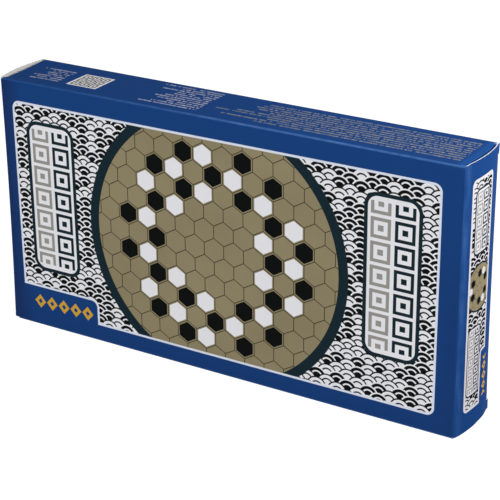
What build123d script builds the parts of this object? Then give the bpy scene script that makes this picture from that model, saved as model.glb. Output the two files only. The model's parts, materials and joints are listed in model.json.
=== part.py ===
from build123d import *
import math
import os

os.makedirs("parts", exist_ok=True)

# Travel go set: a folding board with its stones in a tuck-end carton, lengths in mm, angles in degrees.
# X runs along the carton, the front panel looks to -Y, and the carton stands on its long narrow side at Z = 0.

# Folding board
board_length = 274.0
leaf_height = 150.0
leaf_depth = 17.95
parting_gap = 0.1
leaf_corner = 3.0
leaf_ease = 0.8
tray_wall = 3.0
tray_floor = 1.5
rim_border = 3.0
plate_thickness = 0.3
sheet_thickness = 0.25
sheet_sink = 0.05
plate_play = 0.15

# Board hinge
knuckle_radius = 2.0
knuckle_play = 0.3
pin_radius = 1.0
pin_play = 0.05
knuckle_length = 10.0
hinge_inset = 42.0

# Board catch
catch_magnet_radius = 3.0
catch_magnet_height = 2.0
magnet_play = 0.05
catch_post_wall = 1.6
catch_post_inset = 77.0
thumb_scoop_radius = 22.0
thumb_scoop_depth = 2.0

# Stones
stone_diameter = 13.0
stone_height = 4.2
stone_band = 0.9
stone_gap = 0.6
stone_seat_gap = 0.05
black_count = 181
white_count = 180

# Rules leaflet
leaflet_width = 136.0
leaflet_height = 140.0
leaf_sheet = 0.2
leaf_space = 0.1

# Carton board and the room it leaves around what it holds
card = 0.5
end_room = 11.7
back_room = 3.9
layer_gap = 0.3
top_room = 4.7
seat_gap = 0.3
fold_radius = 1.2

# End closures
crease_gap = 0.12
end_bow = 2.3
cut_gap = 0.4
ear_height = 6.0
ear_reach = 0.1
tab_length = 11.0
tab_corner = 6.0
tab_gap = 0.3
tab_slit = 0.4
tab_swing_ratio = 0.2
tab_spare = 1.5
dust_length = 32.0
dust_swing_ratio = 0.5
dust_slant_spare = 1.15
dust_front_gap = 1.15
dust_tab_gap = 1.5
dust_taper = 2.5
dust_corner = 3.0
thumb_radius = 8.0
lap_width = 12.0
lap_short = 2.0

# Carton sizes that follow from what it holds
leaflet_thickness = 2 * leaf_sheet + leaf_space
front_room = leaflet_thickness + 2 * layer_gap
carton_half_length = board_length / 2 + end_room + 2 * card + layer_gap
carton_depth = 2 * card + front_room + 2 * leaf_depth + parting_gap + back_room
carton_height = 2 * card + seat_gap + knuckle_radius + leaf_height + top_room

front_face = -carton_depth / 2
back_face = carton_depth / 2
mid_height = carton_height / 2
inner_back = back_face - card

# Crease axes of the right end
hinge_x = carton_half_length - card / 2
hinge_y = front_face + card / 2
tuck_y = inner_back - tab_gap - card / 2
dust_x = carton_half_length - card - layer_gap - card / 2
dust_top_z = carton_height - card / 2
crease_step = card / 2 + crease_gap

# Ends of the four sleeve panels
front_end = hinge_x - crease_step
rim_end = dust_x - crease_step
back_end = carton_half_length - card - 2 * layer_gap

# Bowed end panel as an arc from the front crease to the tuck crease
bow_chord = tuck_y - hinge_y
bow_mid_y = (tuck_y + hinge_y) / 2
bow_radius = (bow_chord**2 / 4 + end_bow**2) / (2 * end_bow)
bow_x = hinge_x + end_bow - bow_radius
bow_half_angle = math.degrees(math.asin(bow_chord / 2 / bow_radius))
bow_stop = bow_half_angle - math.degrees(crease_step / bow_radius)
ear_y = back_face - ear_reach
ear_stop = math.degrees(math.asin((ear_y - bow_mid_y) / bow_radius))
ear_top = carton_height - ear_height

# The tuck tab leans in far enough to swing clear of the back panel
tab_lean_needed = tab_length * (1 + tab_swing_ratio) ** 2 / (2 * bow_chord)
tab_lean = math.degrees(tab_lean_needed) + tab_spare
tab_half_height = mid_height - ear_height - tab_slit

# Board position in the carton
leaf_face = front_face + card + front_room
parting_y = leaf_face + leaf_depth + parting_gap / 2
fold_z = card + seat_gap + knuckle_radius
leaf_mid_z = fold_z + leaf_height / 2
leaf_top = fold_z + leaf_height
recess = plate_thickness + sheet_thickness + sheet_sink
stone_floor_y = leaf_face + recess + tray_floor
rim_y = leaf_face + leaf_depth


def across(y):
    """Plane across the depth at y, with its normal to the front."""
    return Plane(origin=(0, y, 0), x_dir=(1, 0, 0), z_dir=(0, -1, 0))


# Carton sleeve: four panels folded into a tube, with a glued lap inside the back panel
with BuildPart() as carton_sleeve:
    with BuildSketch(Plane.YZ):
        with Locations((0, mid_height)):
            RectangleRounded(carton_depth, carton_height, fold_radius)
            RectangleRounded(
                carton_depth - 2 * card,
                carton_height - 2 * card,
                fold_radius - card,
                mode=Mode.SUBTRACT,
            )
    extrude(amount=rim_end, both=True)
    panel_height = carton_height - 2 * fold_radius
    with Locations((0, front_face + card / 2, mid_height)):
        Box(2 * front_end, card, panel_height)
    with Locations((0, back_face - card / 2, mid_height)):
        Box(2 * back_end, card, panel_height)
    lap_end = hinge_x - tab_length - card - lap_short
    with BuildSketch(across(inner_back)):
        Polygon(
            (-lap_end, fold_radius),
            (lap_end, fold_radius),
            (lap_end - lap_width / 3, fold_radius + lap_width),
            (-lap_end + lap_width / 3, fold_radius + lap_width),
            align=None,
        )
    extrude(amount=card)
    with BuildSketch(across(back_face)):
        with Locations((-back_end, mid_height), (back_end, mid_height)):
            Circle(thumb_radius)
    extrude(amount=card, mode=Mode.SUBTRACT)


def bowed_strip(stop_angle):
    """Section of the bowed panel from its front crease to an angle of the arc."""
    outer = bow_radius + card / 2
    inner = bow_radius - card / 2
    sweep = bow_half_angle + stop_angle
    with BuildLine(mode=Mode.PRIVATE) as outline:
        far = CenterArc((bow_x, bow_mid_y), outer, -bow_half_angle, sweep)
        near = CenterArc((bow_x, bow_mid_y), inner, -bow_half_angle, sweep)
        Line(far @ 0, near @ 0)
        Line(far @ 1, near @ 1)
    return outline


# End panel: bowed out, with two ears that lie over the cut edge of the back panel
with BuildPart() as right_end_panel:
    with BuildSketch(Plane.XY.offset(cut_gap)):
        make_face(bowed_strip(bow_stop).edges())
        with Locations((hinge_x, hinge_y)):
            Circle(card / 2)
    extrude(amount=carton_height - 2 * cut_gap)
    with BuildSketch(Plane.XY.offset(cut_gap)):
        make_face(bowed_strip(ear_stop).edges())
    extrude(amount=ear_height - cut_gap)
    with BuildSketch(Plane.XY.offset(ear_top)):
        make_face(bowed_strip(ear_stop).edges())
    extrude(amount=ear_height - cut_gap)

# Tuck tab: rounded tongue on the free edge of the end panel, inside the back panel
lean_cos = math.cos(math.radians(tab_lean))
lean_sin = math.sin(math.radians(tab_lean))
tab_plane = Plane(
    origin=(hinge_x, tuck_y, mid_height),
    x_dir=(-lean_cos, -lean_sin, 0),
    z_dir=(-lean_sin, lean_cos, 0),
)
with BuildPart() as right_tuck_tab:
    with BuildSketch(tab_plane) as tongue:
        with Locations((tab_length / 2, 0)):
            Rectangle(tab_length, 2 * tab_half_height)
        fillet(tongue.vertices().group_by(Axis.X)[-1], tab_corner)
    extrude(amount=card / 2, both=True)
    with Locations((hinge_x, tuck_y, mid_height)):
        Cylinder(card / 2, 2 * tab_half_height)

# Dust flaps: cut on a slant at the front so that the end panel swings past them
dust_front = hinge_y + dust_front_gap
dust_back = tuck_y - card / 2 - dust_tab_gap
dust_slant_y = hinge_y + dust_length * dust_swing_ratio * dust_slant_spare
dust_tip_z = dust_top_z - dust_length
with BuildPart() as right_top_dust_flap:
    with BuildSketch(Plane.YZ.offset(dust_x)) as flap:
        Polygon(
            (dust_front, dust_top_z),
            (dust_back, dust_top_z),
            (dust_back - dust_taper, dust_tip_z),
            (dust_slant_y, dust_tip_z),
            align=None,
        )
        fillet(flap.vertices().group_by(Axis.Z)[0], dust_corner)
    extrude(amount=card / 2, both=True)
    with Locations((dust_x, (dust_front + dust_back) / 2, dust_top_z)):
        Cylinder(card / 2, dust_back - dust_front, rotation=(90, 0, 0))

with BuildPart() as right_bottom_dust_flap:
    mirror(right_top_dust_flap.part, about=Plane.XY.offset(mid_height))

# The left end is the mirror image of the right one
with BuildPart() as left_end_panel:
    mirror(right_end_panel.part, about=Plane.YZ)
with BuildPart() as left_tuck_tab:
    mirror(right_tuck_tab.part, about=Plane.YZ)
with BuildPart() as left_top_dust_flap:
    mirror(right_top_dust_flap.part, about=Plane.YZ)
with BuildPart() as left_bottom_dust_flap:
    mirror(right_bottom_dust_flap.part, about=Plane.YZ)

# Hinge knuckles of the two leaves, along the fold at the rim
knuckle_step = knuckle_length + knuckle_play
hinge_centre = board_length / 2 - hinge_inset
outer_knuckles = [
    side * hinge_centre + offset * knuckle_step for side in (-1, 1) for offset in (-1, 1)
]
inner_knuckles = [-hinge_centre, hinge_centre]


def leaf_tray(own_knuckles, other_knuckles):
    """Moulded half of the board: floor to the front, rim at the parting plane."""
    with BuildPart() as tray:
        with BuildSketch(across(leaf_face)):
            with Locations((0, leaf_mid_z)):
                RectangleRounded(board_length, leaf_height, leaf_corner)
        extrude(amount=-leaf_depth)
        fillet(tray.edges().group_by(Axis.Y)[0], leaf_ease)
        with BuildSketch(across(leaf_face)):
            with Locations((0, leaf_mid_z)):
                RectangleRounded(
                    board_length - 2 * rim_border,
                    leaf_height - 2 * rim_border,
                    leaf_corner - rim_border / 2,
                )
        extrude(amount=-recess, mode=Mode.SUBTRACT)
        with BuildSketch(across(rim_y)):
            with Locations((0, leaf_mid_z)):
                RectangleRounded(
                    board_length - 2 * tray_wall,
                    leaf_height - 2 * tray_wall,
                    leaf_corner - tray_wall / 2,
                )
        extrude(amount=rim_y - stone_floor_y, mode=Mode.SUBTRACT)
        with BuildSketch(across(rim_y)):
            with Locations(*catch_seats):
                Circle(catch_post_radius)
        extrude(amount=rim_y - stone_floor_y)
        with BuildSketch(across(rim_y)):
            with Locations(*catch_seats):
                Circle(catch_magnet_radius + magnet_play)
        extrude(amount=catch_magnet_height + magnet_play, mode=Mode.SUBTRACT)
        with Locations((0, rim_y, leaf_top + thumb_scoop_radius - thumb_scoop_depth)):
            Cylinder(
                thumb_scoop_radius,
                2 * tray_wall,
                rotation=(90, 0, 0),
                mode=Mode.SUBTRACT,
            )
        with Locations(*[(x, parting_y, fold_z) for x in other_knuckles]):
            Cylinder(
                knuckle_radius + knuckle_play,
                knuckle_length + 2 * knuckle_play,
                rotation=(0, 90, 0),
                mode=Mode.SUBTRACT,
            )
        with Locations(*[(x, parting_y, fold_z) for x in own_knuckles]):
            Cylinder(knuckle_radius, knuckle_length, rotation=(0, 90, 0))
        with Locations(*[(x, parting_y, fold_z) for x in own_knuckles]):
            Cylinder(
                pin_radius + pin_play,
                2 * knuckle_length,
                rotation=(0, 90, 0),
                mode=Mode.SUBTRACT,
            )
    return tray


catch_post_radius = catch_magnet_radius + magnet_play + catch_post_wall
catch_z = leaf_top - tray_wall - catch_post_radius + catch_post_wall / 2
catch_x = board_length / 2 - catch_post_inset
catch_seats = [(-catch_x, catch_z), (catch_x, catch_z)]
parting = across(parting_y)

front_tray = leaf_tray(outer_knuckles, inner_knuckles)
turned_tray = leaf_tray(inner_knuckles, outer_knuckles)
with BuildPart() as back_tray:
    mirror(turned_tray.part, about=parting)

with BuildPart() as hinge_pins:
    pin_length = 3 * knuckle_length + 2 * knuckle_play
    with Locations((-hinge_centre, parting_y, fold_z), (hinge_centre, parting_y, fold_z)):
        Cylinder(pin_radius, pin_length, rotation=(0, 90, 0))

# Steel sheet and printed playing sheet in the outer recess of each leaf
inlay_length = board_length - 2 * rim_border - 2 * plate_play
inlay_height = leaf_height - 2 * rim_border - 2 * plate_play
inlay_corner = leaf_corner - rim_border / 2
with BuildPart() as front_steel_sheet:
    with BuildSketch(across(leaf_face + recess)):
        with Locations((0, leaf_mid_z)):
            RectangleRounded(inlay_length, inlay_height, inlay_corner)
    extrude(amount=plate_thickness)
with BuildPart() as front_playing_sheet:
    with BuildSketch(across(leaf_face + recess - plate_thickness)):
        with Locations((0, leaf_mid_z)):
            RectangleRounded(inlay_length, inlay_height, inlay_corner)
    extrude(amount=sheet_thickness)
with BuildPart() as back_steel_sheet:
    mirror(front_steel_sheet.part, about=parting)
with BuildPart() as back_playing_sheet:
    mirror(front_playing_sheet.part, about=parting)

# Catch magnets at the free edge, one pair in each leaf
with BuildPart() as front_catch_magnets:
    with BuildSketch(across(rim_y)):
        with Locations(*catch_seats):
            Circle(catch_magnet_radius)
    extrude(amount=catch_magnet_height)
with BuildPart() as back_catch_magnets:
    mirror(front_catch_magnets.part, about=parting)

# Stones lie in rows on the tray floor, held there by their magnets
stone_radius = stone_diameter / 2
stone_pitch = stone_diameter + stone_gap
row_rise = stone_pitch * math.sqrt(3) / 2
seat_length = board_length - 2 * tray_wall
row_count = int((seat_length - stone_pitch / 2) / stone_pitch)
first_row_z = fold_z + tray_wall + layer_gap + stone_radius
last_row_z = catch_z - catch_post_radius - layer_gap - stone_radius
layer_rows = 1 + int((last_row_z - first_row_z) / row_rise)
layer_size = row_count * layer_rows
layer_rise = stone_height + stone_seat_gap
stone_base_y = stone_floor_y + stone_seat_gap


def stone_seats(count):
    """Places of the stones, row by row from the fold upwards, then in a further layer on the first."""
    seats = []
    for index in range(count):
        layer, place = divmod(index, layer_size)
        row, column = divmod(place, row_count)
        shift = stone_pitch / 4 if row % 2 else -stone_pitch / 4
        x = (column - (row_count - 1) / 2) * stone_pitch + shift
        seats.append((x, layer * layer_rise, first_row_z + row * row_rise))
    return seats


cap_height = stone_height - stone_band
dome_radius = (stone_radius**2 + cap_height**2) / (2 * cap_height)
dome_half_angle = math.asin(stone_radius / dome_radius) / 2
dome_mid_x = dome_radius * math.sin(dome_half_angle)
dome_mid_y = stone_height - dome_radius * (1 - math.cos(dome_half_angle))
with BuildPart() as stone:
    with BuildSketch(Plane.XY):
        with BuildLine():
            Polyline((0, stone_height), (0, 0), (stone_radius, 0), (stone_radius, stone_band))
            ThreePointArc((stone_radius, stone_band), (dome_mid_x, dome_mid_y), (0, stone_height))
        make_face()
    revolve(axis=Axis.Y)


def stone_group(label, count, turned):
    """Copies of the stone on their seats in one leaf, turned round for the back leaf."""
    base_y = 2 * parting_y - stone_base_y if turned else stone_base_y
    inward = -1 if turned else 1
    facing = Rot(0, 0, 180) if turned else Rot(0, 0, 0)
    one_stone = stone.part.solid()
    copies = [
        Pos(x, base_y + inward * lift, z) * facing * one_stone for x, lift, z in stone_seats(count)
    ]
    return Compound(label=label, children=copies)


black_stones = stone_group("black_stones", black_count, False)
white_stones = stone_group("white_stones", white_count, True)

# Rules leaflet: one sheet folded once, between the front panel and the board
leaflet_y = front_face + card + layer_gap + leaflet_thickness / 2
fold_x = -leaflet_width / 2
leaf_offset = (leaf_sheet + leaf_space) / 2
with BuildPart() as rules_leaflet:
    with BuildSketch(Plane.XY.offset(card + seat_gap)):
        with BuildLine():
            near = Line((leaflet_width / 2, leaflet_y - leaf_offset), (fold_x, leaflet_y - leaf_offset))
            far = Line((fold_x, leaflet_y + leaf_offset), (leaflet_width / 2, leaflet_y + leaf_offset))
            ThreePointArc(near @ 1, (fold_x - leaf_offset, leaflet_y), far @ 0)
        trace(line_width=leaf_sheet)
    extrude(amount=leaflet_height)

carton_sleeve.part.label = "carton_sleeve"
export_step(carton_sleeve.part, "parts/carton_sleeve.step")
right_end_panel.part.label = "right_end_panel"
export_step(right_end_panel.part, "parts/right_end_panel.step")
right_tuck_tab.part.label = "right_tuck_tab"
export_step(right_tuck_tab.part, "parts/right_tuck_tab.step")
right_top_dust_flap.part.label = "right_top_dust_flap"
export_step(right_top_dust_flap.part, "parts/right_top_dust_flap.step")
right_bottom_dust_flap.part.label = "right_bottom_dust_flap"
export_step(right_bottom_dust_flap.part, "parts/right_bottom_dust_flap.step")
left_end_panel.part.label = "left_end_panel"
export_step(left_end_panel.part, "parts/left_end_panel.step")
left_tuck_tab.part.label = "left_tuck_tab"
export_step(left_tuck_tab.part, "parts/left_tuck_tab.step")
left_top_dust_flap.part.label = "left_top_dust_flap"
export_step(left_top_dust_flap.part, "parts/left_top_dust_flap.step")
left_bottom_dust_flap.part.label = "left_bottom_dust_flap"
export_step(left_bottom_dust_flap.part, "parts/left_bottom_dust_flap.step")
front_tray.part.label = "front_tray"
export_step(front_tray.part, "parts/front_tray.step")
back_tray.part.label = "back_tray"
export_step(back_tray.part, "parts/back_tray.step")
hinge_pins.part.label = "hinge_pins"
export_step(hinge_pins.part, "parts/hinge_pins.step")
front_steel_sheet.part.label = "front_steel_sheet"
export_step(front_steel_sheet.part, "parts/front_steel_sheet.step")
back_steel_sheet.part.label = "back_steel_sheet"
export_step(back_steel_sheet.part, "parts/back_steel_sheet.step")
front_playing_sheet.part.label = "front_playing_sheet"
export_step(front_playing_sheet.part, "parts/front_playing_sheet.step")
back_playing_sheet.part.label = "back_playing_sheet"
export_step(back_playing_sheet.part, "parts/back_playing_sheet.step")
front_catch_magnets.part.label = "front_catch_magnets"
export_step(front_catch_magnets.part, "parts/front_catch_magnets.step")
back_catch_magnets.part.label = "back_catch_magnets"
export_step(back_catch_magnets.part, "parts/back_catch_magnets.step")
export_step(black_stones, "parts/black_stones.step")
export_step(white_stones, "parts/white_stones.step")
rules_leaflet.part.label = "rules_leaflet"
export_step(rules_leaflet.part, "parts/rules_leaflet.step")
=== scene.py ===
import json
import math

import bmesh
import bpy
from mathutils import Matrix, Vector


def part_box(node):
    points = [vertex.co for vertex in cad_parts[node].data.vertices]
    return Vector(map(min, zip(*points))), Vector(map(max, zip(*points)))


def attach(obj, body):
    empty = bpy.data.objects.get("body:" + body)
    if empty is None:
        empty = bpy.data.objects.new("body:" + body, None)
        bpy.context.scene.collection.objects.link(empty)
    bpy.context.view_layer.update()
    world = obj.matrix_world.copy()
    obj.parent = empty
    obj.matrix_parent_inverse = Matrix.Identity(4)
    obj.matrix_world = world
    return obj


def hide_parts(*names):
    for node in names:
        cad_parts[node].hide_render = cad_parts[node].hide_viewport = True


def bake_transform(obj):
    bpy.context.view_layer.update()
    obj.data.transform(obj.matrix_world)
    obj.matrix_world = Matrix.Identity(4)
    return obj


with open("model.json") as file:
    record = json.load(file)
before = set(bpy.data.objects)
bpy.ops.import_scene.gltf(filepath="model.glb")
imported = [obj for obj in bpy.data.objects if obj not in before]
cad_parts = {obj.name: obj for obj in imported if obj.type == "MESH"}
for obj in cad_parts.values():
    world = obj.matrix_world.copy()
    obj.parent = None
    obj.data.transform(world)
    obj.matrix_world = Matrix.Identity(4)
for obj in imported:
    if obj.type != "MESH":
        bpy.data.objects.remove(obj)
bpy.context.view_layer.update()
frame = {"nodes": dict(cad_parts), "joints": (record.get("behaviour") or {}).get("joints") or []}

# Lengths are in metres, and the prints are laid out in millimetres.
MM = 0.001

# Carton sizes and crease axes, read from the frame
joints = {joint["name"]: joint for joint in frame["joints"]}
sleeve_low, sleeve_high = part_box("carton_sleeve")
end_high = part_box("right_end_panel")[1]
tab_low, tab_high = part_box("right_tuck_tab")
dust_low, dust_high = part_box("right_top_dust_flap")
FRONT = sleeve_low.y
BACK = sleeve_high.y
HEIGHT = sleeve_high.z
MIDDLE = HEIGHT / 2
HINGE_X, HINGE_Y = joints["right_end_open"]["pos_m"][:2]
TUCK_Y = joints["right_tuck_tab_unfold"]["pos_m"][1]
DUST_X = joints["right_top_dust_flap_open"]["pos_m"][0]
CARD = 2 * (HINGE_Y - FRONT)
SIDE = HINGE_X + CARD / 2

# Sizes of the folded board that the solids leave plain
PANEL_FOLD = 1.2 * MM
END_FOLD = 0.7 * MM
TAB_FOLD = 0.8 * MM
DUST_FOLD = 1.6 * MM
CREASE_START = -3 * math.pi / 8
SEAM_STRIP = 1.5 * MM
LAP_TOP = 13.2 * MM
LAP_END = 136.2 * MM
LAP_TAPER = 4.0 * MM
LAP_SEAT = 0.05 * MM
LAP_EDGE = 0.7 * MM
THUMB_RADIUS = 8.0 * MM
TAB_CORNER = 6.0 * MM
TAB_SLIT = 0.4 * MM
DUST_CORNER = 3.0 * MM
EAR_FLARE = -0.1 * MM
EAR_SLANT = 0.8 * MM
INK_BLEED = 6.0 * MM
EDGE_DROP = 0.05 * MM
CORNER_RISE = 6.0 * MM

# How the top lies: close to the right end panel, leaning back at its corner, and sunk at the left end
BULGE_REACH = 14.0 * MM
BULGE_GAP = 0.15 * MM
SAG = 0.9 * MM
SAG_REACH = 32.0 * MM
SAG_DEPTH = 14.0 * MM
SAG_FRONT = 6.0 * MM
LEAN = 1.3 * MM
LEAN_REACH = 9.0 * MM
LEAN_DEPTH = 5.0 * MM

# How the right end panel has moved along X, in millimetres: at the front fold, past its turn, to the back
RIGHT_TOP_MOVES = (-0.7, -0.7, 0.9)
RIGHT_FOOT_MOVES = (-0.1, -0.8, 1.6)
RIGHT_TOP_RUN = (-18.0 * MM, 18.0 * MM)
RIGHT_FOOT_RUN = (-21.0 * MM, 15.0 * MM)
RIGHT_TURN = 5.0 * MM
RIGHT_FOOT_POWER = 3

# The same for the left end panel: at the foot of its fold, the change up to the top, and the bow between
LEFT_FOOT = -1.6
LEFT_RISE = 1.8
LEFT_BOW = 3.6
LEFT_EASE = 0.6
LEFT_EASE_REACH = 20.0 * MM

# Share of the rubbing and painted highlight at the left end of the sleeve's folds, where the painted
# highlight fades away from the light
FAINTEST_RUB_AND_HIGHLIGHT = 0.15

# Names of the layers that a sheet carries for its print
UV_NAME = "print"
WEAR_AND_HIGHLIGHT_NAME = "wear"

# How much the front print's frame drops at its top left corner, for each millimetre from the right
FRAME_TILT = 0.000026


def colour(red, green, blue):
    """Linear colour from 8-bit screen values."""
    shares = [value / 255 for value in (red, green, blue)]
    linear = [s / 12.92 if s <= 0.04045 else ((s + 0.055) / 1.055) ** 2.4 for s in shares]
    return (*linear, 1.0)


BLUE = colour(27, 66, 126)
# Darker blue laid as painted shade
PAINTED_SHADE_BLUE = colour(29, 46, 88)
LEFT_SHADE_BLUE = colour(28, 50, 98)
CREASE_SHADE_BLUE = colour(20, 42, 88)
SHEEN_BLUE = colour(41, 100, 182)
RIM_HIGHLIGHT_BLUE = colour(30, 75, 138)
WEAR_AND_HIGHLIGHT_BLUE = colour(104, 150, 212)
WHITE = colour(232, 232, 236)
KEYLINE = colour(218, 224, 238)
END_SHADED_WHITE = colour(210, 208, 213)
BLACK = colour(18, 20, 20)
TEAL = colour(26, 42, 50)
TAN = colour(154, 143, 112)
TAN_LINE = colour(52, 46, 34)
YELLOW = colour(206, 160, 52)
SILVER = colour(150, 148, 142)
ROW_GREY = colour(152, 152, 138)
ROW_PALE = colour(196, 198, 214)
BOARD_GREY = colour(224, 222, 216)
CUT_WHITE = colour(218, 223, 236)


class Ink:
    """A number that varies over a surface, in a material's node tree, with arithmetic."""

    def __init__(self, tree, socket):
        self.tree = tree
        self.socket = socket

    def __add__(self, other):
        return number(self.tree, "ADD", self, other)

    def __sub__(self, other):
        return number(self.tree, "SUBTRACT", self, other)

    def __rsub__(self, other):
        return number(self.tree, "SUBTRACT", other, self)

    def __mul__(self, other):
        return number(self.tree, "MULTIPLY", self, other)

    def __truediv__(self, other):
        return number(self.tree, "DIVIDE", self, other)

    def __neg__(self):
        return self * -1.0

    def __abs__(self):
        return number(self.tree, "ABSOLUTE", self)

    def below(self, limit):
        """1 where the number is under the limit, and 0 elsewhere."""
        return number(self.tree, "LESS_THAN", self, limit)

    def floor(self):
        return number(self.tree, "FLOOR", self)

    def round(self):
        return number(self.tree, "ROUND", self)

    def wrap(self, half):
        """The number repeated over the stretch from -half to half."""
        return number(self.tree, "WRAP", self, half, -half)

    def modulo(self, step):
        return number(self.tree, "FLOORED_MODULO", self, step)


def number(tree, operation, *values, clamp=False):
    """The result of one Math node on numbers and inks."""
    node = tree.nodes.new("ShaderNodeMath")
    node.operation = operation
    node.use_clamp = clamp
    for socket, value in zip(node.inputs, values):
        if isinstance(value, Ink):
            tree.links.new(value.socket, socket)
        else:
            socket.default_value = value
    return Ink(tree, node.outputs[0])


def larger(first, second):
    return number(first.tree, "MAXIMUM", first, second)


def smaller(first, second):
    return number(first.tree, "MINIMUM", first, second)


def span(across, up):
    """Distance from the origin."""
    return number(across.tree, "SQRT", across * across + up * up)


def choose(test, yes, no):
    """yes where the test is 1, and no where it is 0."""
    return no + (yes - no) * test


def inside(distance, soft=0.12):
    """Mask of a shape from the distance to its edge, in millimetres, negative inside."""
    return number(distance.tree, "MULTIPLY_ADD", distance, -1 / soft, 0.5, clamp=True)


def stroke(distance, width):
    """Mask of a line of that width along a shape's edge."""
    return inside(abs(distance) - width / 2)


def box_edge(across, up, centre, half, corner):
    """Distance to the edge of a rectangle with round corners."""
    dx = abs(across - centre[0]) - (half[0] - corner)
    dy = abs(up - centre[1]) - (half[1] - corner)
    return span(larger(dx, 0.0), larger(dy, 0.0)) + smaller(larger(dx, dy), 0.0) - corner


def chance(first, second, seed):
    """A fixed number from 0 to 1 for each pair of whole numbers."""
    tree = first.tree
    pair = tree.nodes.new("ShaderNodeCombineXYZ")
    tree.links.new(first.socket, pair.inputs[0])
    tree.links.new(second.socket, pair.inputs[1])
    pair.inputs[2].default_value = seed
    noise = tree.nodes.new("ShaderNodeTexWhiteNoise")
    noise.noise_dimensions = "3D"
    tree.links.new(pair.outputs[0], noise.inputs["Vector"])
    return Ink(tree, noise.outputs["Value"])


class Finish:
    """A material with its print coordinates, its layers of colour and its surface."""

    def __init__(self, name, base, roughness, specular=0.5, metallic=0.0):
        self.material = bpy.data.materials.new(name)
        self.material.use_nodes = True
        self.tree = self.material.node_tree
        self.shader = self.tree.nodes["Principled BSDF"]
        self.shader.inputs["Base Color"].default_value = base
        self.shader.inputs["Roughness"].default_value = roughness
        self.shader.inputs["Specular IOR Level"].default_value = specular
        self.shader.inputs["Metallic"].default_value = metallic
        self.base = base
        self.white = WHITE
        self.top = None

    def print_place(self):
        """The sheet's own coordinates in millimetres: along its width, and along its path."""
        place = self.tree.nodes.new("ShaderNodeUVMap")
        place.uv_map = UV_NAME
        parts = self.tree.nodes.new("ShaderNodeSeparateXYZ")
        self.tree.links.new(place.outputs[0], parts.inputs[0])
        return Ink(self.tree, parts.outputs[0]) / MM, Ink(self.tree, parts.outputs[1]) / MM

    def solid_place(self):
        """The place in the frame, in millimetres, for solids that keep their shape."""
        place = self.tree.nodes.new("ShaderNodeTexCoord")
        parts = self.tree.nodes.new("ShaderNodeSeparateXYZ")
        self.tree.links.new(place.outputs["Object"], parts.inputs[0])
        return [Ink(self.tree, socket) / MM for socket in parts.outputs]

    def noise(self, scale, detail=2.0, source="Object", stretch=(1.0, 1.0, 1.0)):
        """Smooth noise from 0 to 1, with scale cells in a metre."""
        if source == "Object":
            place = self.tree.nodes.new("ShaderNodeTexCoord").outputs["Object"]
        else:
            uv = self.tree.nodes.new("ShaderNodeUVMap")
            uv.uv_map = UV_NAME
            place = uv.outputs[0]
        mapping = self.tree.nodes.new("ShaderNodeMapping")
        mapping.inputs["Scale"].default_value = stretch
        self.tree.links.new(place, mapping.inputs["Vector"])
        noise = self.tree.nodes.new("ShaderNodeTexNoise")
        noise.inputs["Scale"].default_value = scale
        noise.inputs["Detail"].default_value = detail
        self.tree.links.new(mapping.outputs[0], noise.inputs["Vector"])
        return Ink(self.tree, noise.outputs["Fac"])

    def attribute(self, name):
        node = self.tree.nodes.new("ShaderNodeAttribute")
        node.attribute_name = name
        return Ink(self.tree, node.outputs["Fac"])

    def lay(self, mask, ink):
        """Lays a colour over the colours so far."""
        node = self.tree.nodes.new("ShaderNodeMix")
        node.data_type = "RGBA"
        factor, under, over = node.inputs[0], node.inputs[6], node.inputs[7]
        self.tree.links.new(mask.socket, factor)
        over.default_value = ink
        if self.top is None:
            under.default_value = self.base
        else:
            self.tree.links.new(self.top, under)
        self.top = node.outputs[2]
        self.tree.links.new(self.top, self.shader.inputs["Base Color"])

    def grade(self, level, low, high):
        """Runs the roughness from low to high with a number from 0 to 1."""
        rough = number(self.tree, "MULTIPLY_ADD", level, high - low, low)
        self.tree.links.new(rough.socket, self.shader.inputs["Roughness"])

    def relief(self, height, depth):
        """Raises the surface by a height from 0 to 1 times a depth in metres."""
        bump = self.tree.nodes.new("ShaderNodeBump")
        bump.inputs["Distance"].default_value = depth
        self.tree.links.new(height.socket, bump.inputs["Height"])
        if self.shader.inputs["Normal"].is_linked:
            earlier = self.shader.inputs["Normal"].links[0].from_socket
            self.tree.links.new(earlier, bump.inputs["Normal"])
        self.tree.links.new(bump.outputs[0], self.shader.inputs["Normal"])


# Motifs of the prints

def scale_pattern(across, up, radius):
    """Overlapping scales in rows: distance from the scale's centre, 0 to 1, and a number for each scale."""
    rise = radius / 2
    row = (up / rise).floor()
    found = []
    for step in (-1, 0, 1):
        own_row = row + step
        dx = (across - own_row.modulo(2.0) * radius).wrap(radius)
        dy = up - own_row * rise
        found.append((span(dx, dy) / radius, ((across - dx) / radius).round(), own_row))
    distance, column, own_row = found[-1]
    for nearer in reversed(found[:-1]):
        test = nearer[0].below(1.0)
        distance = choose(test, nearer[0], distance)
        column = choose(test, nearer[1], column)
        own_row = choose(test, nearer[2], own_row)
    return distance, chance(column, own_row, 3.0)


def lay_scales(finish, mask, across, up, radius):
    """Black and white scales, each with a ring of the other colour."""
    distance, lot = scale_pattern(across, up, radius)
    pale = lot.below(0.5)
    rim = inside(0.87 - distance, soft=0.03)
    ring = inside(abs(distance - 0.52) - 0.07, soft=0.03)
    lines = larger(rim, ring)
    white = abs(pale - lines)
    finish.lay(mask, BLACK)
    finish.lay(mask * white, finish.white)


def hexagons(across, up, pitch):
    """Honeycomb of that pitch: distance to a cell's edge, its class of three, and its centre."""
    tall = math.sqrt(3) / 2
    px, py = across / pitch, up / pitch
    first = px.wrap(0.5), py.wrap(tall)
    second = (px - 0.5).wrap(0.5), (py - tall).wrap(tall)
    test = span(*first).below(span(*second))
    dx, dy = (choose(test, a, b) for a, b in zip(first, second))
    reach = larger(abs(dx), abs(dx) * 0.5 + abs(dy) * tall)
    row = ((py - dy) / tall).round()
    column = (px - dx - row * 0.5).round()
    centre = (px - dx) * pitch, (py - dy) * pitch
    return (0.5 - reach) * pitch, (column - row).modulo(3.0), centre


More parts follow.
